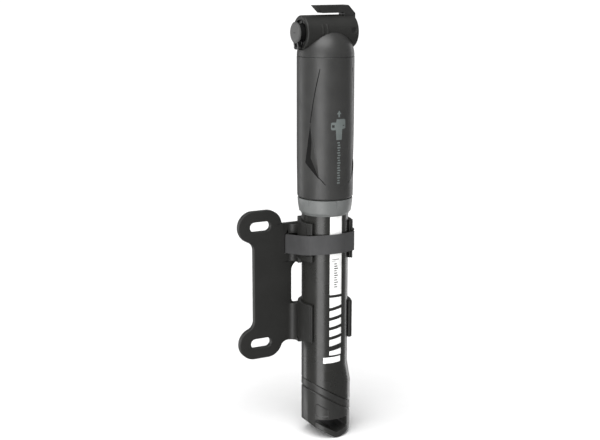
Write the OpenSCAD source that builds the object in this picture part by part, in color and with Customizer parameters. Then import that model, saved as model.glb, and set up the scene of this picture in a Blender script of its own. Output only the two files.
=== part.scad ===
// Telescopic bicycle mini pump in its frame bracket.
// Origin: midway between the two bracket slots, on the back face of the bracket plate.
// +X runs along the pump head, +Y into the bicycle frame, +Z up along the pump.

/* [Bracket] */
// Distance between the two mounting slots, which is the bottle cage boss spacing
slot_spacing = 64; // [60:0.5:72]
// Width of a mounting slot, for a 5 mm screw
slot_w = 5.3; // [5:0.1:6.5]
// Length of a mounting slot, end to end
slot_len = 12; // [9:0.5:14]
// Corner radius of the ear around a slot
ear_r = 8.5; // [8:0.5:10]
// Plate thickness
plate_t = 3; // [2.8:0.1:4]
// Distance from the line of the slots to the pump axis
pump_offset = 32; // [31:0.5:40]
// Wall of the two spring clips
clip_wall = 2.05; // [1.6:0.05:3]
// Height of each clip
clip_h = 20.5; // [16:0.5:22]
// Half of the open angle at the front of a clip
clip_gap_angle = 55; // [45:1:65]

/* [Strap] */
// Width of the rubber strap
strap_w = 10.2; // [7:0.2:13]
// Thickness of the rubber strap
strap_t = 1.25; // [1:0.05:1.6]
// How far the strap leans down from its front to the plate, in degrees
strap_lean = 7.8; // [0:0.2:9]

/* [Barrel] */
// Outer radius of the barrel
barrel_r = 12.3; // [10.2:0.05:13.5]
// Wall of the barrel
barrel_wall = 1.7; // [1.2:0.1:2.4]
// How far the foot flares out beyond the barrel, towards +X
foot_flare = 1.9; // [0.5:0.1:3]
// Width of the two grooves round the foot
groove_w = 0.6; // [0.3:0.1:1]
// Radius of the piston rod
rod_r = 4; // [3:0.1:5]
// Radius of the air channel in the rod
air_r = 1.6; // [1:0.1:1.8]

/* [Handle] */
// Length of the grip sleeve
grip_len = 73.1; // [60:0.5:95]
// Radius of the grip sleeve at its top
grip_r = 14.83; // [14.5:0.05:17]
// How much narrower the grip sleeve is at its bottom rim
grip_taper = 0.25; // [0:0.05:0.5]
// Depth of the side scoops in the grip
scoop_depth = 1.25; // [0.4:0.05:1.35]
// Height of the grey collar ring below the grip
ring_h = 8.9; // [7:0.1:12]
// Gap between the top clip and the collar ring
ring_gap = 3.9; // [1:0.1:8]

/* [Head] */
// Radius of the head tube
head_r = 8.6; // [7.8:0.05:9]
// Length of the head tube
head_len = 29.4; // [28:0.1:30]
// Height of the head tube's axis above the top of the grip
head_rise = 12; // [11.5:0.1:13]
// Radius of the bore that holds the gasket and plunger
chamber_r = 6.5; // [5.8:0.1:6.6]
// Radius of the valve port
port_r = 4.2; // [3.5:0.05:4.4]
// Width of the lock lever
lever_w = 6; // [5:0.1:6.6]
// Thickness of the lever's flat bar
lever_t = 3.9; // [3:0.1:4.5]
// Length of the lever's bar from its pin
lever_len = 19.2; // [14:0.1:22]
// Travel of the clamping plunger
clamp_travel = 1.5; // [1:0.05:1.6]

/* [Fits] */
// Radial clearance of a running fit
run_clear = 0.05; // [0.02:0.01:0.08]
// Gap between parts that only pass each other
free_gap = 0.3; // [0.2:0.05:0.5]

/* [Hidden] */
$fn = 96;
eps = 0.01;
far = grip_len;

// bracket
slot_z = slot_spacing / 2;
ear_half = slot_len / 2 - 2;
edge_x = -3.8;
plate_z = slot_z + 0.5;
clip_in = barrel_r + run_clear;
clip_r = clip_in + clip_wall;
tip_c = clip_in + clip_wall / 2;
tip_r = clip_wall / 2 - 0.03;
tip_angle = clip_gap_angle + asin(tip_r / tip_c);
back_gap = 0.25;
pump_y = -clip_r - back_gap;
clip_low_z = -29.2;
clip_top_z = 14.8;
fillet_bite = 0.02;
fillet_drop = 3.3;
window_x = -clip_r + 0.5;
window_low = clip_low_z + clip_h - fillet_drop;
window_top = clip_top_z - fillet_drop;
strap_z = clip_top_z + clip_h / 2 - 2.15;
strap_play = 0.25;
strap_slot_x = -clip_r - 2.5;
anchor_t = 1.6;
anchor_w = 4.2;
anchor_y = clip_r + back_gap - anchor_t - 0.05;
peg_angle = 106;
peg_r = 1.6;
peg_z = strap_z + (clip_r + strap_t / 2) * cos(peg_angle) * tan(strap_lean);
strap_end = 128;
tab_len = 5.2;
bead_r = strap_t * 0.9;
tab_x = (clip_r + strap_t / 2) * sin(strap_end) + tab_len * sin(strap_end + 90);
pad_x = tab_x - bead_r - 0.5;
rib_angle = 63;

// barrel
bore_r = barrel_r - barrel_wall;
ring_z = clip_top_z + clip_h + ring_gap;
grip_z = ring_z + ring_h;
cap_z = grip_z + grip_len;
flange_h = 3.5;
buffer_h = 1.5;
nut_h = 3.6;
spigot_h = 5;
barrel_top = cap_z - spigot_h - nut_h - buffer_h - flange_h - 1.1;
foot_z = -58.4;
foot_slope = 31.5;
flare_top = -43;
flare_end = -53.3;
groove_pitch = 4.7;
groove_d = 0.5;
plug_low = -49;
plug_h = 7;
seal_d = 2;

// piston, held just above the end plug when the pump is closed
piston_z = plug_low + plug_h + 2;
piston_h = 10;
piston_r = bore_r - 0.1;
shoulder_r = rod_r + 1.6;
rod_nut_h = 4;
ball_r = 1.7;
seat_r = 1;
ball_chamber_r = 2.2;
ball_z = piston_z + 2 + sqrt(ball_r * ball_r - seat_r * seat_r) + 0.02;
spring_top = ball_z + 12;
spring_wire = 0.3;
spring_turns = 6;

// handle
grip_span = grip_len / 73.1;
sleeve_r = grip_r - 1.63;
ring_spigot = 3.4;
stroke = barrel_top - (grip_z + ring_spigot) - 0.5;

// head, about the head tube's axis
head_z = cap_z + head_rise;
head_x0 = -14.5;
head_x1 = head_x0 + head_len;
dome_r = grip_r - 0.03;
stem_r = rod_r + 1.2;
rod_top = cap_z + 0.5;
pin_x = 11.9;
pin_z = head_z + 1;
pin_r = 1.1;
cam_r = 3.3;
slot_gap = 0.25;
slot_x = 8;
plunger_face = pin_x - cam_r - 0.4;
plunger_end = -2.8;
gasket_x1 = plunger_end - clamp_travel - free_gap;
gasket_len = 5.4;
port_x1 = gasket_x1 - gasket_len;
port_x0 = -13.3;
port_mouth = 1;
cap_disc_r = 5.2;
cap_x0 = -18;
cap_flange = 1.4;
cap_x1 = -13.9;
hinge_x = -15.95;
hinge_z = head_z - 7.5;
hinge_r = 0.6;
lug_w = 2;
lug_r = hinge_r + 0.35;

PLASTIC = [0.17, 0.17, 0.16];
GRIP = [0.26, 0.26, 0.26];
RUBBER = [0.2, 0.2, 0.2];
STEEL = [0.75, 0.76, 0.78];
BRASS = [0.72, 0.6, 0.32];
GREY = [0.5, 0.53, 0.53];

// ---- helpers -------------------------------------------------------------------------

// Places its children on the pump axis.
module at_pump() { translate([pump_offset, pump_y, 0]) children(); }

// A point in plan, at an angle from the front (-Y) towards +X, and the same at a height.
function plan(angle, r) = [r * sin(angle), -r * cos(angle)];
function around(angle, r, z) = [r * sin(angle), -r * cos(angle), z];

// A tube standing on z0.
module ring(r_out, r_in, z0, h) {
    translate([0, 0, z0]) difference() {
        cylinder(h = h, r = r_out);
        translate([0, 0, -1]) cylinder(h = h + 2, r = r_in);
    }
}

// A cylinder along +X from x0 to x1, on the head tube's axis.
module along_head(r, x0, x1) {
    translate([x0, 0, head_z]) rotate([0, 90, 0]) cylinder(h = x1 - x0, r = r);
}

// An XY outline drawn up through all heights.
module upright() { translate([0, 0, -2 * far]) linear_extrude(4 * far) children(); }

// A cylinder along Y, centred on the XZ point.
module cross_pin(r, w, x, z) {
    translate([x, 0, z]) rotate([90, 0, 0]) cylinder(h = w, r = r, center = true);
}

// An XZ outline given thickness w along Y, centred on Y = 0.
module slab(w) { rotate([90, 0, 0]) linear_extrude(w, center = true) children(); }

// An O-ring: centre radius r, section radius s.
module o_ring(r, s, z) { translate([0, 0, z]) rotate_extrude() translate([r, 0]) circle(r = s, $fn = 32); }

// A wedge of the XY plane between two angles from the front.
module wedge(a0, a1, r) {
    n = 8;
    polygon(concat([[0, 0]], [for (i = [0:n]) let (a = a0 + (a1 - a0) * i / n)
        [r * sin(a), -r * cos(a)]]));
}

// Part of a flat ring between two angles from the front.
module arc_band(r_in, r_out, a0, a1) {
    intersection() {
        difference() { circle(r = r_out); circle(r = r_in); }
        wedge(a0, a1, 3 * r_out);
    }
}

// ---- bracket -------------------------------------------------------------------------

// A flat oval centred on the origin: half the straight length, and the end radius.
module oval(half, r) {
    square([2 * half, 2 * r], center = true);
    for (s = [-1, 1]) translate([s * half, 0]) circle(r = r);
}

// Fills the inside corner between an ear's end circle and the body's left edge.
module left_fillet(r) {
    dx = edge_x - r + ear_half;
    reach = ear_r + r - fillet_bite;
    dz = sqrt(reach * reach - dx * dx);
    c = [edge_x - r, slot_z - dz];
    difference() {
        polygon([c, [edge_x + 1, c[1]], [edge_x + 1, slot_z], [-ear_half, slot_z]]);
        translate(c) circle(r = r);
    }
}

// Fills the inside corner between an ear's end circle and the body's top edge.
module right_fillet(r) {
    dz = plate_z + r - slot_z;
    reach = ear_r + r - fillet_bite;
    c = [ear_half + sqrt(reach * reach - dz * dz), plate_z + r];
    difference() {
        polygon([c, [ear_half, slot_z], [ear_half, plate_z - 1], [c[0], plate_z - 1]]);
        translate(c) circle(r = r);
    }
}

// The bracket plate's outline in X and Z.
module plate_outline() {
    difference() {
        union() {
            translate([edge_x, -plate_z])
                square([pump_offset + window_x - edge_x, 2 * plate_z]);
            for (s = [-1, 1]) translate([0, s * slot_z]) oval(ear_half, ear_r);
            for (s = [0, 1]) mirror([0, s]) left_fillet(5);
            right_fillet(1.6);
            mirror([0, 1]) right_fillet(4);
            translate([pump_offset + window_x - eps, window_top])
                square([pad_x - window_x, plate_z - window_top]);
            translate([pump_offset - 9, plate_z - 1])
                square([9 + pad_x, clip_top_z + clip_h - plate_z + 1]);
            translate([pump_offset + window_x - eps, -plate_z])
                square([pad_x - window_x, window_low + plate_z]);
            window_corner(window_top, 5.4, 1);
            window_corner(window_low, 3, -1);
        }
        for (s = [-1, 1]) translate([0, s * slot_z]) oval(slot_len / 2 - slot_w / 2, slot_w / 2);
    }
}

// Rounds an inside corner of the window between the clips.
module window_corner(z, r, up) {
    translate([pump_offset + window_x, z]) difference() {
        translate([-eps, up > 0 ? -r : -eps]) square([r, r + eps]);
        translate([r, -up * r]) circle(r = r);
    }
}

// One spring clip, seen from above.
module clip_outline() {
    difference() {
        circle(r = clip_r);
        wedge(-tip_angle, tip_angle, 2 * clip_r);
    }
    for (s = [-1, 1]) translate(plan(s * tip_angle, tip_c)) circle(r = tip_r);
}

// The concave fillet where a clip meets the plate.
module clip_fillet(r) {
    y = clip_r + back_gap - plate_t - r;
    c = [-sqrt((clip_r + r) * (clip_r + r) - y * y), y];
    difference() {
        polygon([c, [c[0], clip_r - 1], [-6, clip_r - 1], c * clip_in / (clip_r + r)]);
        translate(c) circle(r = r);
        circle(r = clip_in);
    }
}

module bracket() {
    color(PLASTIC) difference() {
        union() {
            rotate([90, 0, 0]) linear_extrude(plate_t) plate_outline();
            at_pump() for (z = [clip_low_z, clip_top_z]) translate([0, 0, z]) {
                linear_extrude(clip_h) clip_outline();
                translate([0, 0, -fillet_drop]) linear_extrude(clip_h) clip_fillet(3.5);
            }
            at_pump() {
                strap_peg();
                arm_pads();
            }
        }
        at_pump() {
            // way for the pump through the plate
            translate([0, 0, -far]) cylinder(h = 2 * far, r = clip_in);
            // the strap's slot and anchor pocket in the plate, and its channel beside the clip
            intersection() {
                strap_layer(-strap_w / 2 - strap_play, strap_w / 2 + strap_play);
                union() {
                    translate([strap_slot_x - strap_t / 2 - strap_play, 0, -far])
                        cube([strap_t + 2 * strap_play, clip_r + 2, 2 * far]);
                    translate([strap_slot_x - anchor_w / 2 - strap_play, anchor_y - 0.05, -far])
                        cube([anchor_w + 2 * strap_play, anchor_t + 1, 2 * far]);
                    difference() {
                        translate([-clip_r - 8, 0, -far])
                            cube([8 + clip_r, clip_r + back_gap - plate_t, 2 * far]);
                        cylinder(h = 3 * far, r = clip_r, center = true);
                    }
                }
            }
        }
    }
}

// All space between two heights measured square to the strap, which leans down towards +Y.
module strap_layer(low, high) {
    translate([0, 0, strap_z]) rotate([-strap_lean, 0, 0]) translate([-far, -far, low])
        cube([2 * far, 2 * far, high - low]);
}

// Puts the peg's own axis along Z, from the pump axis outwards.
module on_peg() { translate([0, 0, peg_z]) rotate([0, 0, peg_angle]) rotate([90, 0, 0]) children(); }

// The mushroom peg that the strap's free end hooks over.
module strap_peg() {
    on_peg() {
        cylinder(h = clip_r + strap_t + 0.6, r = peg_r);
        translate([0, 0, clip_r + strap_t + 0.4]) cylinder(h = 1, r = peg_r + 0.9);
    }
}

// Thicker pads at the arm tips, above and below the strap, and the keeper rib on the right.
module arm_pads() {
    difference() {
        translate([0, 0, clip_top_z]) linear_extrude(clip_h) for (s = [-1, 1])
            arc_band(clip_r - 0.5, clip_r + 0.35, s * clip_gap_angle, s * (clip_gap_angle + 14));
        strap_layer(-strap_w / 2 - free_gap, strap_w / 2 + free_gap);
    }
    intersection() {
        upright() arc_band(clip_r - 0.5, clip_r + 1.2, rib_angle - 5, rib_angle + 5);
        strap_layer(strap_w / 2 + free_gap, strap_w / 2 + free_gap + 1.3);
    }
}

// Points of an arc in plan about c, from angle a0 to a1.
function arc(c, r, a0, a1) =
    let (n = ceil(abs(a1 - a0) / 5)) [for (i = [0:n]) c + plan(a0 + (a1 - a0) * i / n, r)];

// One face of the strap in plan, off from its inner face: over an arm, round its tip, over
// the barrel, round the other tip and over the other arm to the pull tab.
function strap_face(off) =
    let (arm = clip_r + 0.02,
        bend = arm - tip_c,
        lean = tip_angle - acos((clip_in - bend) / tip_c),
        anchor = [strap_slot_x, anchor_y + 0.5],
        left = -atan2(-anchor[0], -anchor[1]) + acos((arm + strap_t / 2) / norm(anchor)))
    concat([anchor + plan(left, off - strap_t / 2)],
        arc([0, 0], arm + off, left, -tip_angle),
        arc(plan(-tip_angle, tip_c), bend + off, -tip_angle, -lean),
        arc([0, 0], clip_in + off, -lean, lean),
        arc(plan(tip_angle, tip_c), bend + off, lean, tip_angle),
        arc([0, 0], arm + off, tip_angle, strap_end),
        [plan(strap_end, arm + off) + plan(strap_end + 90, tab_len)]);

module strap() {
    outer = strap_face(strap_t);
    last = len(outer) - 1;
    color(RUBBER) at_pump() difference() {
        intersection() {
            union() {
                upright() polygon(concat(strap_face(0), [for (i = [0:last]) outer[last - i]]));
                // anchor bar behind the plate
                upright() translate([strap_slot_x - anchor_w / 2, anchor_y]) square([anchor_w, anchor_t]);
                // bead at the end of the pull tab
                upright() translate(plan(strap_end, clip_r + strap_t / 2) + plan(strap_end + 90, tab_len))
                    circle(r = bead_r, $fn = 48);
            }
            strap_layer(-strap_w / 2, strap_w / 2);
        }
        on_peg() {
            cylinder(h = clip_r + 6, r = peg_r + 0.05);
            translate([0, 0, clip_r + strap_t + 0.35]) cylinder(h = 5, r = peg_r + 1.2);
        }
    }
}

// ---- barrel --------------------------------------------------------------------------

// The foot's cross-section: the barrel's circle drawn out towards +X.
module foot_section(shrink = 0) {
    circle(r = barrel_r - shrink);
    translate([foot_flare, 0]) circle(r = barrel_r - shrink);
    translate([0, shrink - barrel_r]) square([foot_flare, 2 * (barrel_r - shrink)]);
}

// Everything above a plane that slopes down towards +X, through z on the pump axis.
module above_slope(z) {
    translate([0, 0, z]) rotate([0, foot_slope, 0]) translate([-4 * far, -far, 0])
        cube([8 * far, 2 * far, 8 * far]);
}

module barrel_tube() {
    color(PLASTIC) at_pump() difference() {
        intersection() {
            union() {
                translate([0, 0, foot_z - far]) cylinder(h = barrel_top - foot_z + far, r = barrel_r);
                translate([0, 0, foot_z - far]) linear_extrude(flare_end - foot_z + far) foot_section();
                hull() {
                    translate([0, 0, flare_end - eps]) linear_extrude(eps) foot_section();
                    translate([0, 0, flare_top]) linear_extrude(eps) circle(r = barrel_r);
                }
            }
            above_slope(foot_z);
        }
        cylinder(h = 4 * far, r = bore_r, center = true);
    }
}

// The foot's outline in X and Z, below the part line.
module foot_outline() {
    right = barrel_r + foot_flare;
    low = -83.5;
    offset(r = 3) offset(delta = -3)
        polygon([[-barrel_r, -45], [-barrel_r, -72.8], [0.6 - barrel_r, -75], [2.4 - barrel_r, -77],
            [0.8, low], [3.5, low + 0.2], [10.2, -81.3], [right, -78.6], [right, -45]]);
}

// The shallow recess on the foot's side.
module foot_panel() {
    difference() {
        translate([0, -2 * barrel_r, 0]) slab(4 * barrel_r - 4) polygon([[-9.6, -65.2], [-8.8, -63.9],
            [-3.5, -67.2], [-3.5, -70.9], [-8.5, -70.9], [-9.6, -69.6]]);
        upright() foot_section(0.4);
    }
}

// The lanyard eye through the foot.
module foot_eye() {
    offset(r = 0.6, $fn = 32) offset(delta = -0.6)
        polygon([[-9.8, -74.1], [-9, -72.9], [8, -72.9], [8, -78.1], [5.6, -79.6], [1.4, -80.5]]);
}

// A shallow groove round the foot on a sloping plane.
module foot_groove(z) {
    difference() {
        translate([0, 0, z]) rotate([0, foot_slope, 0]) translate([-far, -far, -groove_w / 2])
            cube([2 * far, 2 * far, groove_w]);
        upright() foot_section(groove_d);
    }
}

module foot() {
    color(PLASTIC) at_pump() {
        difference() {
            intersection() {
                upright() foot_section();
                slab(4 * barrel_r) foot_outline();
            }
            above_slope(foot_z);
            foot_groove(foot_z);
            foot_groove(foot_z - groove_pitch);
            slab(4 * barrel_r) foot_eye();
            for (s = [0, 1]) mirror([0, s, 0]) foot_panel();
        }
        // spigot pressed into the barrel
        translate([0, 0, foot_z - 1]) cylinder(h = plug_low - foot_z + 1, r = bore_r);
    }
}

module end_plug() {
    color(GREY) at_pump() difference() {
        ring(bore_r, 0.01, plug_low, plug_h);
        ring(bore_r + 2, bore_r - seal_d * 0.9, plug_low + 2.5, seal_d);
        translate([0, 0, plug_low - 1]) cylinder(h = 4, r = 5);
    }
}

module end_plug_seal() {
    color(RUBBER) at_pump() o_ring(bore_r - seal_d * 0.45, seal_d * 0.45, plug_low + 2.5 + seal_d / 2);
}

module top_bush() {
    color(GREY) at_pump() difference() {
        union() {
            translate([0, 0, barrel_top]) cylinder(h = flange_h, r = sleeve_r - run_clear);
            translate([0, 0, barrel_top - 9]) cylinder(h = 10, r = bore_r);
        }
        translate([0, 0, barrel_top - 20]) cylinder(h = 40, r = rod_r + run_clear);
        // relief round the rod below the bearing stretch
        translate([0, 0, barrel_top - 10]) cylinder(h = 6, r = bore_r - 2.2);
        // air vents beside the rod
        for (i = [0:2]) rotate(i * 120) translate([7, 0, barrel_top - 20]) cylinder(h = 40, r = 0.9);
    }
}

module top_buffer() {
    color(RUBBER) at_pump() ring(sleeve_r - 5, rod_r + 2, barrel_top + flange_h, buffer_h);
}

// ---- piston --------------------------------------------------------------------------

module piston_head() {
    color(GREY) at_pump() difference() {
        translate([0, 0, piston_z]) cylinder(h = piston_h, r = piston_r);
        translate([0, 0, piston_z - 1]) cylinder(h = piston_h + 2, r = rod_r + run_clear);
        translate([0, 0, piston_z - 1])
            cylinder(h = rod_nut_h + 1 + free_gap, r = shoulder_r + 0.6 + free_gap);
        ring(piston_r + 2, piston_r - seal_d, piston_z + 5.6, seal_d + 0.4);
    }
}

module piston_seal() {
    color(RUBBER) at_pump() translate([0, 0, piston_z + 5.6 + seal_d / 2 + 0.2])
        rotate_extrude() translate([bore_r - run_clear - seal_d / 2 + 0.02, 0])
            circle(r = seal_d / 2 - 0.02, $fn = 32);
}

// ---- handle --------------------------------------------------------------------------

module piston_rod() {
    color(STEEL) at_pump() difference() {
        union() {
            translate([0, 0, piston_z + 1]) cylinder(h = rod_top - piston_z - 1, r = rod_r);
            // shoulder that pushes the piston down
            translate([0, 0, piston_z + piston_h + free_gap]) cylinder(h = 2.5, r = shoulder_r);
        }
        translate([0, 0, piston_z]) cylinder(h = spring_top - piston_z, r = ball_chamber_r);
        translate([0, 0, piston_z]) cylinder(h = rod_top, r = air_r);
    }
}

module rod_nut() {
    color(BRASS) at_pump() difference() {
        translate([0, 0, piston_z]) cylinder(h = rod_nut_h, r = shoulder_r + 0.6);
        translate([0, 0, piston_z + 1]) cylinder(h = rod_nut_h, r = rod_r);
        translate([0, 0, piston_z - 1]) cylinder(h = 5, r = seat_r);
    }
    color(BRASS) at_pump() ring(ball_chamber_r, seat_r, piston_z + 1, 1);
}

module check_ball() {
    color(STEEL) at_pump() translate([0, 0, ball_z]) sphere(r = ball_r, $fn = 48);
}

// A coil spring as one closed tube, its wire swept up a helix.
module coil(r, wire, z0, z1, turns) {
    sides = 6;
    steps = turns * 14;
    pts = [for (i = [0:steps]) let (a = i * 360 * turns / steps, z = z0 + (z1 - z0) * i / steps)
        for (j = [0:sides - 1]) let (b = j * 360 / sides, rr = r + wire * cos(b))
            [rr * cos(a), rr * sin(a), z + wire * sin(b)]];
    faces = concat(
        [for (i = [0:steps - 1], j = [0:sides - 1]) let (k = (j + 1) % sides)
            [i * sides + j, i * sides + k, (i + 1) * sides + k, (i + 1) * sides + j]],
        [[for (j = [0:sides - 1]) sides - 1 - j]],
        [[for (j = [0:sides - 1]) steps * sides + j]]);
    polyhedron(points = pts, faces = faces);
}

module valve_spring() {
    color(STEEL) at_pump() coil(1.25, spring_wire, ball_z + ball_r + 0.35,
        spring_top - spring_wire - 0.1, spring_turns);
}

// A fine line engraved in the grip between two points, each an angle and a height on it.
module grip_line(from, to) {
    along = (to[0] - from[0]) * PI / 180 * grip_r;
    rise = (to[1] - from[1]) * grip_span;
    rotate((from[0] + to[0]) / 2) translate([0, -grip_r, grip_z + (from[1] + to[1]) / 2 * grip_span])
        rotate([0, atan2(along, rise), 0]) cube([0.35, 0.6, norm([along, rise]) + 0.1], center = true);
}

// Half of the grip's decoration: a faceted scoop and fine lines, on the left side.
module grip_scoop() {
    rim = [[-59.5, 40], [-71.5, 19.5], [-40, 11.2], [-44.5, 20.5], [-51, 29.5]];
    keel = [[-58.5, 30, 0.8], [-61.5, 21.8, 1], [-50, 16.4, 0.8]];
    hull() {
        for (p = rim) translate(around(p[0], grip_r + 0.02, grip_z + p[1] * grip_span))
            cube(eps, center = true);
        for (p = keel) translate(around(p[0], grip_r - p[2] * scoop_depth, grip_z + p[1] * grip_span))
            cube(eps, center = true);
        translate(around(-58, grip_r + 14, grip_z + 22 * grip_span)) cube(eps, center = true);
    }
    line = [[-39, 67.5], [-48, 57], [-53, 50.3], [-59.3, 40]];
    for (i = [0:2]) grip_line(line[i], line[i + 1]);
    grip_line([-41, 12.2], [-27, 8.3]);
}

module grip_sleeve() {
    low = grip_r - grip_taper;
    rim = 1;
    color(GRIP) at_pump() difference() {
        rotate_extrude() polygon(concat(
            [[sleeve_r, grip_z + 0.3], [low - rim, grip_z]],
            [for (a = [-75:15:0]) [low - rim + rim * cos(a), grip_z + rim + rim * sin(a)]],
            [[grip_r, grip_z + 20], [grip_r, cap_z - 0.35], [grip_r - 0.3, cap_z], [sleeve_r, cap_z]]));
        for (s = [0, 1]) mirror([s, 0, 0]) grip_scoop();
    }
}

module collar_ring() {
    edge = sleeve_r + 1.2;
    color(GREY) at_pump() difference() {
        rotate_extrude() polygon([[clip_in, ring_z], [clip_in + 0.15, ring_z],
            [barrel_r + 0.65, ring_z + 0.9], [barrel_r + 1.3, ring_z + 1.5], [barrel_r + 1.55, ring_z + 3],
            [edge - 0.15, ring_z + 5.6], [edge, grip_z - 1], [edge - 0.15, grip_z - 0.45],
            [edge - 0.7, grip_z - 0.2], [sleeve_r, grip_z - 0.2], [sleeve_r, grip_z + ring_spigot],
            [clip_in, grip_z + ring_spigot]]);
        // shallow finger flats
        for (i = [0:5]) rotate(i * 60 - 2) translate([0, -edge - 0.1, ring_z + 6])
            cube([1.1, 0.9, 6.4], center = true);
        ring(barrel_r + 0.9, 1, ring_z + 2.2, 2.4);
    }
}

module wiper_seal() {
    color(RUBBER) at_pump() difference() {
        ring(barrel_r + 0.9, barrel_r + run_clear, ring_z + 2.2, 2.4);
        ring(barrel_r + 0.6, 1, ring_z + 3, 0.8);
    }
}

// ---- head ----------------------------------------------------------------------------

module head_cap() {
    color(GRIP) at_pump() difference() {
        union() {
            intersection() {
                translate([0, 0, cap_z]) sphere(r = dome_r, $fn = 128);
                translate([-far / 2, -far / 2, cap_z]) cube(far);
            }
            translate([0, 0, cap_z - spigot_h]) cylinder(h = spigot_h + eps, r = sleeve_r);
        }
        along_head(head_r, -far / 2, far / 2);
        translate([0, 0, cap_z - 10]) cylinder(h = 40, r = stem_r);
        // hollow underside
        ring(sleeve_r - 2, stem_r + 2.8, cap_z - spigot_h - 1, 8);
        // seat of the cap seal
        ring(stem_r + 1.4, 1, cap_z - spigot_h - 1, 2.6);
    }
}

module head_nut() {
    color(BRASS) at_pump() difference() {
        translate([0, 0, cap_z - spigot_h - nut_h]) cylinder(h = nut_h, r = stem_r + 3.2, $fn = 6);
        translate([0, 0, cap_z - spigot_h - nut_h - 1]) cylinder(h = nut_h + 2, r = stem_r);
    }
}

module cap_seal() {
    color(RUBBER) at_pump() o_ring(stem_r + 0.7, 0.7, cap_z - spigot_h + 0.8);
}

module head_tube() {
    color(GRIP) at_pump() difference() {
        union() {
            difference() {
                along_head(head_r, head_x0, head_x1);
                // chamfered rims
                for (e = [[head_x0, 1], [head_x1, -1]]) translate([e[0], 0, head_z])
                    rotate([0, e[1] * 90, 0]) difference() {
                        translate([0, 0, -1]) cylinder(h = 1.5, r = head_r + 2);
                        translate([0, 0, -1]) cylinder(h = 1.5, r1 = head_r - 1.5, r2 = head_r);
                    }
            }
            // stem down through the cap
            translate([0, 0, cap_z - spigot_h - nut_h])
                cylinder(h = head_rise + spigot_h + nut_h - chamber_r - 1, r = stem_r);
            // small ribs on the front and back
            for (x = [-6.2, -3.6]) intersection() {
                along_head(head_r + 0.3, x, x + 0.9);
                translate([0, 0, head_z + 1.8]) cube([far, far, 5], center = true);
            }
            tether_lug();
        }
        along_head(chamber_r, head_x0 - 5, 4.8);
        // room for the cam and the plunger's nose
        translate([4, -lever_w / 2 - slot_gap, pin_z - cam_r - clamp_travel - 0.5])
            cube([far, lever_w + 2 * slot_gap, 2 * cam_r + clamp_travel + 0.5]);
        translate([slot_x, -lever_w / 2 - slot_gap, pin_z - 1]) cube([far, lever_w + 2 * slot_gap, far]);
        cross_pin(pin_r, far, pin_x, pin_z);
        // recess round the pin's ends
        for (s = [-1, 1]) translate([0, s * (head_r - 0.35 + 2), 0]) cross_pin(pin_r + 0.5, 4, pin_x, pin_z);
        translate([0, 0, cap_z - 20]) cylinder(h = rod_top - cap_z + 20, r = rod_r);
        translate([0, 0, cap_z - 5]) cylinder(h = head_rise + 5, r = air_r);
    }
}

// The lug below the port that carries the dust cap's tether.
module tether_lug() {
    difference() {
        union() {
            slab(lug_w) {
                translate([hinge_x, hinge_z]) circle(r = lug_r, $fn = 48);
                translate([hinge_x, hinge_z - lug_r]) square([head_x0 + 0.6 - hinge_x, 2 * lug_r - 0.1]);
            }
            cross_pin(hinge_r, lug_w + 3.2, hinge_x, hinge_z);
        }
        translate([0, 0, cap_z]) sphere(r = dome_r);
    }
}

module lever_pin() { color(STEEL) at_pump() cross_pin(pin_r, 2 * head_r - 1.6, pin_x, pin_z); }

module lock_lever() {
    top = head_z + head_r + 0.9 + lever_t;
    under = top - lever_t;
    color(GRIP) at_pump() difference() {
        union() {
            slab(lever_w) polygon([[pin_x - lever_len, top], [pin_x - 0.2, top], [pin_x + 3.8, top - 4.2],
                [pin_x + 3.8, pin_z], [pin_x + 2.9, pin_z - 2.2], [pin_x - 2.6, pin_z - 2.2],
                [pin_x - 2.9, pin_z + 1.5], [pin_x - 2.9, under], [pin_x - lever_len + lever_t, under]]);
            // eccentric cam, its centre below the pin while the lever lies flat
            cross_pin(cam_r, lever_w, pin_x, pin_z - clamp_travel);
        }
        cross_pin(pin_r + run_clear, far, pin_x, pin_z);
    }
}

module clamp_plunger() {
    seat = 4.2;
    color(BRASS) at_pump() difference() {
        union() {
            along_head(chamber_r - run_clear, plunger_end, seat);
            along_head(lever_w / 2 - 0.1, seat - eps, plunger_face);
        }
        along_head(air_r, plunger_end - 1, 1.5);
        // ring of air round the plunger, and its cross hole
        difference() {
            along_head(chamber_r + 1, -1.4, 1.6);
            along_head(chamber_r - 1.6, -2, 3);
        }
        translate([0, 0, head_z - chamber_r - 1]) cylinder(h = chamber_r + 1, r = air_r - 0.4);
        // groove of the seal
        difference() {
            along_head(chamber_r + 1, 2.2, 3.8);
            along_head(chamber_r - 1.4, 2, 4);
        }
    }
}

module plunger_seal() {
    color(RUBBER) at_pump() translate([3, 0, head_z]) rotate([0, 90, 0]) rotate_extrude()
        translate([chamber_r - run_clear - 0.68, 0]) circle(r = 0.66, $fn = 32);
}

module valve_gasket() {
    color(RUBBER) at_pump() difference() {
        along_head(chamber_r, port_x1, gasket_x1);
        along_head(port_r - 0.25, port_x1 - 1, gasket_x1 + 1);
        // lip towards the plunger
        difference() {
            along_head(chamber_r + 1, gasket_x1 - 1, gasket_x1 + 1);
            along_head(chamber_r - 1, gasket_x1 - 2, gasket_x1 + 2);
        }
    }
}

module port_nut() {
    color(GREY) at_pump() difference() {
        along_head(chamber_r, port_x0, port_x1);
        along_head(port_r, port_x0 - 1, port_x1 + 1);
        along_head(port_r + 0.6, port_x0 - 1, port_x0 + port_mouth);
        // two slots for a pin wrench
        translate([port_x0, 0, head_z]) cube([1, 1.2, 2 * chamber_r + 2], center = true);
    }
}

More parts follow.
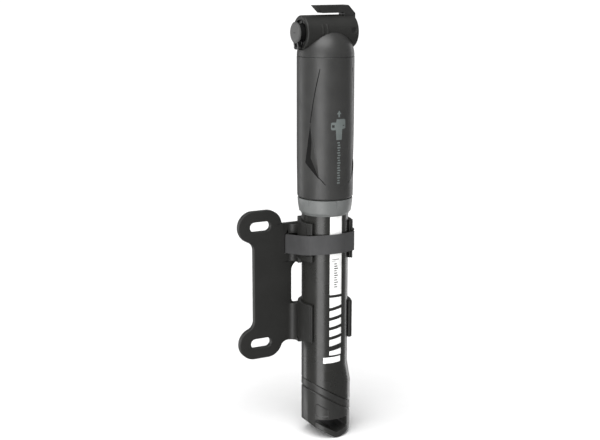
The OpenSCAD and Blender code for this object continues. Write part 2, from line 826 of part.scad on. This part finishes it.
module dust_cap() {
    arm_in = lug_w / 2 + free_gap;
    color(RUBBER) at_pump() difference() {
        union() {
            along_head(cap_disc_r, cap_x0 + 0.5, cap_x0 + cap_flange);
            along_head(port_r + 0.2, cap_x0 + 0.5, cap_x1 + 1.2);
            translate([cap_x0, 0, head_z]) rotate([0, 90, 0])
                cylinder(h = 0.5 + eps, r1 = cap_disc_r - 0.5, r2 = cap_disc_r);
            // two tether straps down to the lug
            for (s = [-1, 1]) translate([0, s * (arm_in + 0.6), 0]) slab(1.2) {
                translate([hinge_x, hinge_z]) circle(r = hinge_r + 0.5, $fn = 48);
                polygon([[hinge_x - 0.9, hinge_z], [hinge_x + 0.8, hinge_z],
                    [hinge_x + 0.8, head_z - 3], [cap_x0 + 0.6, head_z - 3], [cap_x0 + 0.6, head_z - 4.6]]);
            }
        }
        cross_pin(hinge_r + run_clear, far, hinge_x, hinge_z);
    }
}

bracket();
strap();
barrel_tube();
foot();
end_plug();
end_plug_seal();
top_bush();
top_buffer();
piston_head();
piston_seal();
piston_rod();
rod_nut();
check_ball();
valve_spring();
grip_sleeve();
collar_ring();
wiper_seal();
head_cap();
head_nut();
cap_seal();
head_tube();
lever_pin();
lock_lever();
clamp_plunger();
plunger_seal();
valve_gasket();
port_nut();
dust_cap();
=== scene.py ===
# A telescopic bicycle mini pump, clipped into its frame bracket.
from math import cos, radians, sin

import bmesh
import bpy
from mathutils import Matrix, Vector


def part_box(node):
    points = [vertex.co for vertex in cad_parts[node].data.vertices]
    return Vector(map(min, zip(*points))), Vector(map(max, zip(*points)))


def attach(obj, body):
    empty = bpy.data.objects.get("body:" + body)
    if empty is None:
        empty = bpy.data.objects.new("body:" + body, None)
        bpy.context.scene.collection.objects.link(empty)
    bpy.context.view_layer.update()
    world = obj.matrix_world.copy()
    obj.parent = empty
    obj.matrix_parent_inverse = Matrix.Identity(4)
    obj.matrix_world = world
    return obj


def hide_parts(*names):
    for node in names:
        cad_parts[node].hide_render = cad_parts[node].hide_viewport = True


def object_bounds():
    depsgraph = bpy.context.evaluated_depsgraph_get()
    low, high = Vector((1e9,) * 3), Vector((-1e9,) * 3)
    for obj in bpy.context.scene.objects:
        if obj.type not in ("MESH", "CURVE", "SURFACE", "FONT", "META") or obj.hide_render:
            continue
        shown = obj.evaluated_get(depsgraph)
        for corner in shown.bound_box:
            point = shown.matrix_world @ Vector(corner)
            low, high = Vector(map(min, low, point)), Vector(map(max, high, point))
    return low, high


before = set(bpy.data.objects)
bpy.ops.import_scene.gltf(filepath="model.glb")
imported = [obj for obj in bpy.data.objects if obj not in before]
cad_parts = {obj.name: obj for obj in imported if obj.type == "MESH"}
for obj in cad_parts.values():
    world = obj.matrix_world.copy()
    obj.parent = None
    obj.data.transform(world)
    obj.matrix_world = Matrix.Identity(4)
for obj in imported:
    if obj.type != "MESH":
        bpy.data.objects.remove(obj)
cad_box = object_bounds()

mm = 0.001

# ---- camera ----
# A long lens, a little above the head and to the left of the pump's front. It looks down
# at the middle of the pump.
rod_low, rod_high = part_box("piston_rod")
pump_x = (rod_low.x + rod_high.x) / 2
pump_y = (rod_low.y + rod_high.y) / 2
camera_left = 284.07 * mm
camera_back = 528.66 * mm
camera_height = 170.1 * mm
look_tilt = radians(77.3)
look_turn = radians(-27)
camera = bpy.data.objects.new("camera", bpy.data.cameras.new("camera"))
camera.data.lens = 69.9
camera.data.sensor_width = 36
camera.location = (pump_x - camera_left, pump_y - camera_back, camera_height)
camera.rotation_euler = (look_tilt, 0, look_turn)
bpy.context.scene.collection.objects.link(camera)
bpy.context.scene.camera = camera


# ---- bracket ----
# One moulding of glass-filled nylon: a plate with two slotted ears and two spring clips.
# Its skin has a fine spark-eroded grain, and the mould leaves every edge a little round.
def add_node(tree, kind, **values):
    """A node with its inputs or settings given by name."""
    node = tree.nodes.new(kind)
    for name, value in values.items():
        if name in node.inputs:
            node.inputs[name].default_value = value
        else:
            setattr(node, name, value)
    return node


def noise(tree, size, detail=3.0, stretch=(1, 1, 1)):
    """Noise on the piece's own coordinates, its features about size metres across."""
    place = add_node(tree, "ShaderNodeTexCoord")
    mapping = add_node(tree, "ShaderNodeMapping", Scale=[s / size for s in stretch])
    texture = add_node(tree, "ShaderNodeTexNoise", Detail=detail, Scale=1.0)
    tree.links.new(place.outputs["Object"], mapping.inputs["Vector"])
    tree.links.new(mapping.outputs["Vector"], texture.inputs["Vector"])
    return texture.outputs["Fac"]


def spread(tree, value, low, high, steep=0.22, middle=0.5):
    """Maps the middle of a noise onto low to high."""
    ramp = add_node(tree, "ShaderNodeMapRange")
    ramp.inputs["From Min"].default_value = middle - steep
    ramp.inputs["From Max"].default_value = middle + steep
    ramp.inputs["To Min"].default_value = low
    ramp.inputs["To Max"].default_value = high
    tree.links.new(value, ramp.inputs["Value"])
    return ramp.outputs["Result"]


def tinted(tree, factor, one, other):
    """A colour between two, by a factor from 0 to 1."""
    mix = add_node(tree, "ShaderNodeMix", data_type="RGBA")
    mix.inputs["A"].default_value = (*one, 1)
    mix.inputs["B"].default_value = (*other, 1)
    tree.links.new(factor, mix.inputs["Factor"])
    return mix.outputs["Result"]


def surface_of(name, colour, rough, grain, depth, stretch=(1, 1, 1), metal=0.0,
               specular=0.5, dust=0.05, drift=0.12):
    """A surface with slight colour drift, handled patches, fine grain and a little dust."""
    drift_size = 9 * mm
    patch_size = 6 * mm
    speck_size = 0.35 * mm
    dust_colour = (0.3, 0.29, 0.27, 1)
    material = bpy.data.materials.new(name)
    material.use_nodes = True
    tree = material.node_tree
    shader = tree.nodes["Principled BSDF"]
    shader.inputs["Metallic"].default_value = metal
    shader.inputs["Specular IOR Level"].default_value = specular
    darker = [c * (1 - drift) for c in colour]
    lighter = [c * (1 + drift) for c in colour]
    base = tinted(tree, spread(tree, noise(tree, drift_size), 0, 1), darker, lighter)
    specks = spread(tree, noise(tree, speck_size, 1), 0, dust, steep=0.04, middle=0.74)
    mix = add_node(tree, "ShaderNodeMix", data_type="RGBA")
    mix.inputs["B"].default_value = dust_colour
    tree.links.new(specks, mix.inputs["Factor"])
    tree.links.new(base, mix.inputs["A"])
    tree.links.new(mix.outputs["Result"], shader.inputs["Base Color"])
    patches = spread(tree, noise(tree, patch_size, 1.5), rough - 0.03, rough + 0.04)
    tree.links.new(patches, shader.inputs["Roughness"])
    bump = add_node(tree, "ShaderNodeBump", Strength=0.6, Distance=depth)
    tree.links.new(noise(tree, grain, 2, stretch), bump.inputs["Height"])
    tree.links.new(bump.outputs["Normal"], shader.inputs["Normal"])
    return material


def dress(piece, material, body):
    """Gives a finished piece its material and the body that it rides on."""
    piece.data.materials.append(material)
    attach(piece, body)
    return piece


def welded(node, name, radius, corner=30, shape=None):
    """A node's shape as one welded skin, its edges rounded as a mould leaves them."""
    weld_distance = 0.008 * mm
    flat_angle = radians(0.4)
    mesh = bpy.data.meshes.new(name)
    bm = bmesh.new()
    bm.from_mesh(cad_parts[node].data)
    bmesh.ops.remove_doubles(bm, verts=bm.verts, dist=weld_distance)
    bmesh.ops.dissolve_limit(bm, angle_limit=flat_angle, verts=bm.verts, edges=bm.edges)
    if shape:
        shape(bm)
    for face in bm.faces:
        face.smooth = True
    bm.to_mesh(mesh)
    bm.free()
    piece = bpy.data.objects.new(name, mesh)
    bpy.context.scene.collection.objects.link(piece)
    edge = piece.modifiers.new("rounded edges", "BEVEL")
    edge.width = radius
    edge.segments = 3
    edge.limit_method = "ANGLE"
    edge.angle_limit = radians(corner)
    edge.use_clamp_overlap = False
    shading = piece.modifiers.new("flats stay flat", "WEIGHTED_NORMAL")
    shading.mode = "FACE_AREA"
    shading.weight = 80
    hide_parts(node)
    return piece


def split_flats(bm):
    """Cuts each broad flat, with its slots and corners, into plain triangles."""
    most_corners = 8
    flats = [f for f in bm.faces if len(f.verts) > most_corners]
    bmesh.ops.triangulate(bm, faces=flats, ngon_method="BEAUTY")


nylon = surface_of("grained black nylon", (0.0125, 0.0125, 0.0115), rough=0.5, grain=0.35 * mm,
                   depth=0.016 * mm)
dress(welded("bracket", "clip_bracket", radius=0.35 * mm, shape=split_flats), nylon,
      "bracket")

# ---- strap ----
# A band of moulded EPDM rubber that runs from the plate over both arms and hooks on a peg.
# It has the soft, chalky skin of rubber and square edges with a small radius.
epdm = surface_of("strap rubber", (0.047, 0.047, 0.048), rough=0.66, grain=0.22 * mm,
                  depth=0.012 * mm, specular=0.3)
dress(welded("strap", "rubber_strap", radius=0.2 * mm), epdm, "bracket")

# ---- barrel ----
# A glossy nylon tube, drawn out towards the foot. It is polished lengthwise by the collar
# ring, which slides over it.
gloss = surface_of("glossy black nylon", (0.015, 0.015, 0.0138), rough=0.28, grain=3 * mm,
                   depth=0.0002 * mm, stretch=(1, 1, 0.2), dust=0, drift=0.06)
dress(welded("barrel_tube", "barrel", radius=0.1 * mm), gloss, "barrel")


# ---- print on the barrel ----
# White pad print, a few hundredths of a millimetre thick: a stripe with a row of small
# dark marks, a ladder of slanting bars below it, and one wide bar that closes the ladder.
def wrapped(bm, outline, radius_at, inner, outer):
    """Adds a flat outline, arc length by height in mm, bent round the pump with a thickness."""
    strip = 0.8
    raised = -1
    corners = [bm.verts.new((along * mm, 0, height * mm)) for along, height in outline]
    made = [bm.faces.new(corners)]
    low = min(along for along, height in outline)
    high = max(along for along, height in outline)
    for cut in range(int(low // strip), int(high // strip) + 1):
        edges = list({e for f in made for e in f.edges})
        verts = list({v for f in made for v in f.verts})
        result = bmesh.ops.bisect_plane(bm, geom=made + edges + verts,
                                        plane_co=(cut * strip * mm, 0, 0), plane_no=(1, 0, 0))
        made = [g for g in result["geom"] if isinstance(g, bmesh.types.BMFace)]
    result = bmesh.ops.extrude_face_region(bm, geom=made)
    lifted = [g for g in result["geom"] if isinstance(g, bmesh.types.BMVert)]
    bmesh.ops.translate(bm, verts=lifted, vec=(0, raised, 0))
    for vert in {v for f in made for v in f.verts} | set(lifted):
        radius = radius_at(vert.co.z)
        turn = vert.co.x / radius
        radius += outer if vert.co.y < raised / 2 else inner
        vert.co = (pump_x + radius * sin(turn), pump_y - radius * cos(turn), vert.co.z)


def printed(name, outlines, radius_at, outer=0.03 * mm):
    """A pad print made of flat outlines bent round the pump."""
    sunk = -0.05 * mm
    bm = bmesh.new()
    for outline in outlines:
        wrapped(bm, outline, radius_at, sunk, outer)
    bmesh.ops.recalc_face_normals(bm, faces=bm.faces)
    mesh = bpy.data.meshes.new(name)
    bm.to_mesh(mesh)
    bm.free()
    piece = bpy.data.objects.new(name, mesh)
    bpy.context.scene.collection.objects.link(piece)
    return piece


def bar(left, right, low, high, slant=0.0):
    """A bar between two arc lengths and two heights, its right end raised by slant."""
    return [(left, low), (right, low + slant), (right, high + slant), (left, high)]


def on_barrel(z):
    """The barrel's radius, which is the same all along the print."""
    return barrel_radius


barrel_radius = 12.3 * mm
stripe_left = -3.33
stripe_right = 3.76
stripe_low = -2.9
stripe_high = 41
rungs = (-10, -15.3, -20.6, -25.9, -31.2)
rung_height = 3.5
rung_slant = 1.2
stripe = [bar(stripe_left, stripe_right, stripe_low, stripe_high)]
ladder = [bar(stripe_left, stripe_right, z, z + rung_height, rung_slant) for z in rungs]
ladder.append([(stripe_left, -4.4), (stripe_left, -6.5),
               (stripe_right, -5.3), (stripe_right, -4.4)])
ladder.append([(stripe_left, -36.2), (stripe_right, -36.2),
               (stripe_right, -32.8), (stripe_left, -34)])
closing = bar(-6.6, 3.3, -40.7, -37.5, 0.5)
white = surface_of("white print", (0.8, 0.8, 0.79), rough=0.42, grain=0.15 * mm, depth=0.002 * mm)
dress(printed("barrel_stripe", stripe, on_barrel), white, "barrel")
dress(printed("barrel_ladder", ladder + [closing], on_barrel), white, "barrel")
tick_top = 13.6
tick_pitch = 1.25
tick_count = 11
ticks = []
for i in range(tick_count):
    z = tick_top - tick_pitch * i
    ticks.append(bar(-0.9, 0.5 + 0.45 * (i % 3), z, z + 0.55))
ticks += [bar(-2.1, 1.9, 16.1, 16.45), bar(-2.1, -0.2, 15.3, 15.6)]
print_black = surface_of("black print", (0.02, 0.02, 0.02), rough=0.45, grain=0.15 * mm,
                         depth=0.002 * mm)
over_print = 0.04 * mm
dress(printed("label_ticks", ticks, on_barrel, over_print), print_black,
      "barrel")

# ---- foot ----
# The barrel's closed end, moulded in the same nylon with a duller skin. It has two sloping
# grooves, a side facet and an eye for a lanyard.
foot_black = surface_of("foot nylon", (0.019, 0.019, 0.018), rough=0.38, grain=0.6 * mm,
                        depth=0.001 * mm, dust=0)
dress(welded("foot", "barrel_foot", radius=0.3 * mm), foot_black, "barrel")

# ---- grip ----
# A satin sleeve with a faceted scoop and engraved lines on each side, and a dome that
# closes it under the head.
grip_low, grip_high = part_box("grip_sleeve")
grip_radius = (grip_high.x - grip_low.x) / 2
draw_in = 0.25 * mm
draw_start = 20 * mm
draw_run = 19 * mm


def grip_surface(z):
    """The sleeve's radius, which draws in a little over its lowest 20 mm."""
    return grip_radius - draw_in * max(0, (grip_low.z + draw_start - z) / draw_run)


def painted_shade_walls(bm):
    """Marks the engraved lines and the steep walls of the scoops that face away from the light,
    which get painted shade.
    """
    least_depth = 0.08 * mm
    most_depth = 1.4 * mm
    lowest = grip_low.z + 3 * mm
    highest = grip_high.z - 2 * mm
    bm.normal_update()
    for face in bm.faces:
        centre = face.calc_center_median()
        out = Vector((centre.x - pump_x, centre.y - pump_y, 0))
        depth = grip_surface(centre.z) - out.length
        if least_depth < depth < most_depth and lowest < centre.z < highest:
            forward = out.normalized().cross(Vector((0, 0, 1)))
            if forward.y > 0:
                forward.negate()
            # Walls facing one way keep the satin; the others take the near-black painted shade.
            face.material_index = 0 if face.normal.dot(forward) < -0.06 else 1


satin = surface_of("satin grip plastic", (0.027, 0.027, 0.0262), rough=0.42, grain=0.22 * mm,
                   depth=0.006 * mm)
# A near-black, dull material used as painted shade on the grip's scoop walls and engraved lines
# that face away from the light, and on the dust cap's neck and tether behind its disc.
painted_shade_black = surface_of("painted shade black", (0.004, 0.004, 0.004), rough=0.62, grain=0.3 * mm,
                       depth=0.004 * mm, specular=0.15, dust=0)
grip = dress(welded("grip_sleeve", "grip", radius=0.06 * mm, corner=25, shape=painted_shade_walls),
             satin, "handle")
# The second material is painted shade on the marked walls and lines.
grip.data.materials.append(painted_shade_black)
dress(welded("head_cap", "grip_dome", radius=0.12 * mm), satin, "handle")

# ---- print on the grip ----
# Grey pad print on the sleeve's front: an arrow, the outline of a pump head, and a column
# of small marks. A darker print over it shows the port and the lever's slot.
arrow = [(0, 94.6), (-1.25, 92.7), (-0.45, 92.7), (-0.45, 91.2), (0.45, 91.2), (0.45, 92.7),
         (1.25, 92.7)]
head_sign = [(-1.5, 79.6), (1.6, 79.6), (1.9, 85), (3.9, 85.4), (3.9, 89.6), (3.2, 90.2),
             (-1.4, 90.2), (-1.6, 88.6), (-3.9, 88.6), (-4.4, 88), (-4.4, 85.3), (-3.9, 84.7),
             (-1.8, 84.7)]
mark_top = 77.8
mark_pitch = 1.3
mark_count = 17
marks = []
for i in range(mark_count):
    z = mark_top - mark_pitch * i
    marks.append(bar(-0.95 + 0.3 * (i % 2), 0.5 + 0.2 * (i * 7 % 3), z, z + 0.66))
grey_print = surface_of("grey print", (0.105, 0.12, 0.117), rough=0.45, grain=0.15 * mm,
                        depth=0.002 * mm)
dress(printed("grip_signs", [arrow, head_sign] + marks, grip_surface), grey_print,
      "handle")
port_sign = [(-3.9, 86), (-2.5, 86), (-2.5, 87.3), (-3.9, 87.3)]
slot_sign = bar(2.2, 3.2, 86.6, 87.1)
dress(printed("grip_sign_detail", [port_sign, slot_sign], grip_surface, over_print), print_black,
      "handle")

# ---- collar ring ----
# A ring of mid-grey acetal with six shallow finger flats. It is pressed into the sleeve's
# lower end and carries the wiper.
collar_grey = surface_of("grey acetal", (0.122, 0.127, 0.125), rough=0.38, grain=0.3 * mm,
                         depth=0.005 * mm)
dress(welded("collar_ring", "collar", radius=0.12 * mm), collar_grey, "handle")

# ---- head ----
# The cross tube, moulded in satin black nylon, with the port at its left end and the
# lever's fork at its right end. A nut on its stem clamps it to the dome.
head_black = surface_of("head plastic", (0.0155, 0.0155, 0.0145), rough=0.46, grain=0.22 * mm,
                        depth=0.006 * mm, specular=0.35)
dress(welded("head_tube", "pump_head", radius=0.15 * mm), head_black, "handle")

# ---- lever ----
# The over-centre lever, moulded in one with its cam. It turns on a steel pin across the
# head's fork.
lever_black = surface_of("lever plastic", (0.015, 0.015, 0.0145), rough=0.42, grain=0.25 * mm,
                         depth=0.008 * mm)
dress(welded("lock_lever", "flip_lever", radius=0.3 * mm), lever_black, "lever")

# ---- dust cap ----
# A moulded rubber cap that plugs the port, with a raised dash on its face. Its tether
# holds it to the lug under the head.
cap_rubber = surface_of("dust cap rubber", (0.07, 0.07, 0.069), rough=0.5, grain=0.3 * mm,
                        depth=0.006 * mm)
cap_low, cap_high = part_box("dust_cap")


def painted_shade_back(bm):
    """Marks all that lies behind the cap's disc, its neck and tether straps, which get painted
    shade.
    """
    disc_back = cap_low.x + 1.45 * mm
    for face in bm.faces:
        if face.calc_center_median().x > disc_back:
            face.material_index = 1


cover = dress(welded("dust_cap", "port_cover", radius=0.15 * mm, shape=painted_shade_back),
              cap_rubber, "dust_cap")
# Near-black painted shade on the neck and tether, in the dark gap behind the disc.
cover.data.materials.append(painted_shade_black)
dash_size = (0.24 * mm, 2.6 * mm, 0.55 * mm)
dash_place = (cap_low.x + 0.08 * mm, pump_y, cap_high.z - 5.2 * mm)
dash = bpy.data.objects.new("port_cover_dash", bpy.data.meshes.new("port_cover_dash"))
bm = bmesh.new()
bmesh.ops.create_cube(bm, size=1)
bmesh.ops.scale(bm, verts=bm.verts, vec=dash_size)
bmesh.ops.bevel(bm, geom=bm.edges, offset=0.09 * mm, segments=2, profile=0.5, affect="EDGES",
                material=-1)
bmesh.ops.translate(bm, verts=bm.verts, vec=dash_place)
bm.to_mesh(dash.data)
bm.free()
bpy.context.scene.collection.objects.link(dash)
dress(dash, print_black, "dust_cap")

# ---- working parts ----
# Turned brass, ground steel, acetal and nitrile seals, which show only where the head and
# the barrel open.
acetal = surface_of("black acetal", (0.02, 0.02, 0.02), rough=0.4, grain=0.3 * mm,
                    depth=0.004 * mm)
nitrile = surface_of("nitrile rubber", (0.016, 0.016, 0.016), rough=0.55, grain=0.3 * mm,
                     depth=0.006 * mm)
steel = surface_of("ground steel", (0.62, 0.62, 0.63), rough=0.25, grain=0.12 * mm,
                   depth=0.001 * mm, metal=1.0)
blackened = surface_of("blackened steel", (0.09, 0.09, 0.09), rough=0.34, grain=0.12 * mm,
                       depth=0.001 * mm, metal=1.0)
brass = surface_of("turned brass", (0.72, 0.52, 0.24), rough=0.28, grain=0.12 * mm,
                   depth=0.001 * mm, metal=1.0)
for finish, nodes in (
    (acetal, ("end_plug", "top_bush", "piston_head", "port_nut")),
    (nitrile, ("end_plug_seal", "top_buffer", "piston_seal", "wiper_seal", "cap_seal",
               "plunger_seal", "valve_gasket")),
    (steel, ("piston_rod", "check_ball", "valve_spring")),
    (blackened, ("lever_pin",)),
    (brass, ("rod_nut", "head_nut", "clamp_plunger")),
):
    for node in nodes:
        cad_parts[node].data.materials.clear()
        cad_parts[node].data.materials.append(finish)

# ---- studio ----
# A pale floor, a soft sky, one tall softbox at the front left and a strip behind each side.
floor_gap = 0.2 * mm
floor_half = 40
floor = bpy.data.objects.new("floor", bpy.data.meshes.new("floor"))
bm = bmesh.new()
bmesh.ops.create_grid(bm, x_segments=1, y_segments=1, size=floor_half)
bmesh.ops.translate(bm, verts=bm.verts, vec=(0, 0, cad_box[0][2] - floor_gap))
bm.to_mesh(floor.data)
bm.free()
bpy.context.scene.collection.objects.link(floor)
floor_paint = surface_of("pale floor", (0.88, 0.88, 0.88), rough=0.9, grain=20 * mm,
                         depth=0.002 * mm, specular=0.0, dust=0, drift=0.006)
floor.data.materials.append(floor_paint)
# The boxes reach below the floor's level, so it neither mirrors in the gloss nor shades them.
floor.visible_glossy = False
floor.visible_shadow = False

room_light = 0.25
wall_brightness = 1.0
world = bpy.data.worlds.new("studio")
world.use_nodes = True
walls = world.node_tree
backdrop = walls.nodes["Background"]
backdrop.inputs["Color"].default_value = (1, 1, 1, 1)
# The far wall is as pale as the floor to look at, though it lights the pump less.
seen = add_node(walls, "ShaderNodeLightPath")
level = add_node(walls, "ShaderNodeMapRange")
level.inputs["To Min"].default_value = room_light
level.inputs["To Max"].default_value = wall_brightness
walls.links.new(seen.outputs["Is Camera Ray"], level.inputs["Value"])
walls.links.new(level.outputs["Result"], backdrop.inputs["Strength"])
bpy.context.scene.world = world


pump_middle = 30 * mm


def softbox(name, azimuth, height, distance, width, tall, watts):
    """An area light at an azimuth from the front (-Y) towards +X, aimed at the pump's middle."""
    light = bpy.data.lights.new(name, "AREA")
    light.shape = "RECTANGLE"
    light.size = width
    light.size_y = tall
    light.energy = watts
    lamp = bpy.data.objects.new(name, light)
    middle = Vector((pump_x, pump_y, pump_middle))
    turn = radians(azimuth)
    lamp.location = middle + Vector((sin(turn) * distance, -cos(turn) * distance, height))
    lamp.rotation_euler = (middle - lamp.location).to_track_quat("-Z", "Y").to_euler()
    bpy.context.scene.collection.objects.link(lamp)


box_height = -0.2
softbox("front box", -48, box_height, distance=1.25, width=0.75, tall=1.3, watts=12)
for name, azimuth in (("right strip", 112), ("left strip", -142)):
    softbox(name, azimuth, box_height, distance=1.1, width=0.4, tall=1.2, watts=3)
sky = bpy.data.objects.new("overhead sky", bpy.data.lights.new("overhead sky", "SUN"))
sky.data.energy = 3.6
sky.data.angle = radians(60)
sky.rotation_euler = (radians(20), radians(-22), 0)
bpy.context.scene.collection.objects.link(sky)
bpy.context.scene.view_settings.view_transform = "Standard"
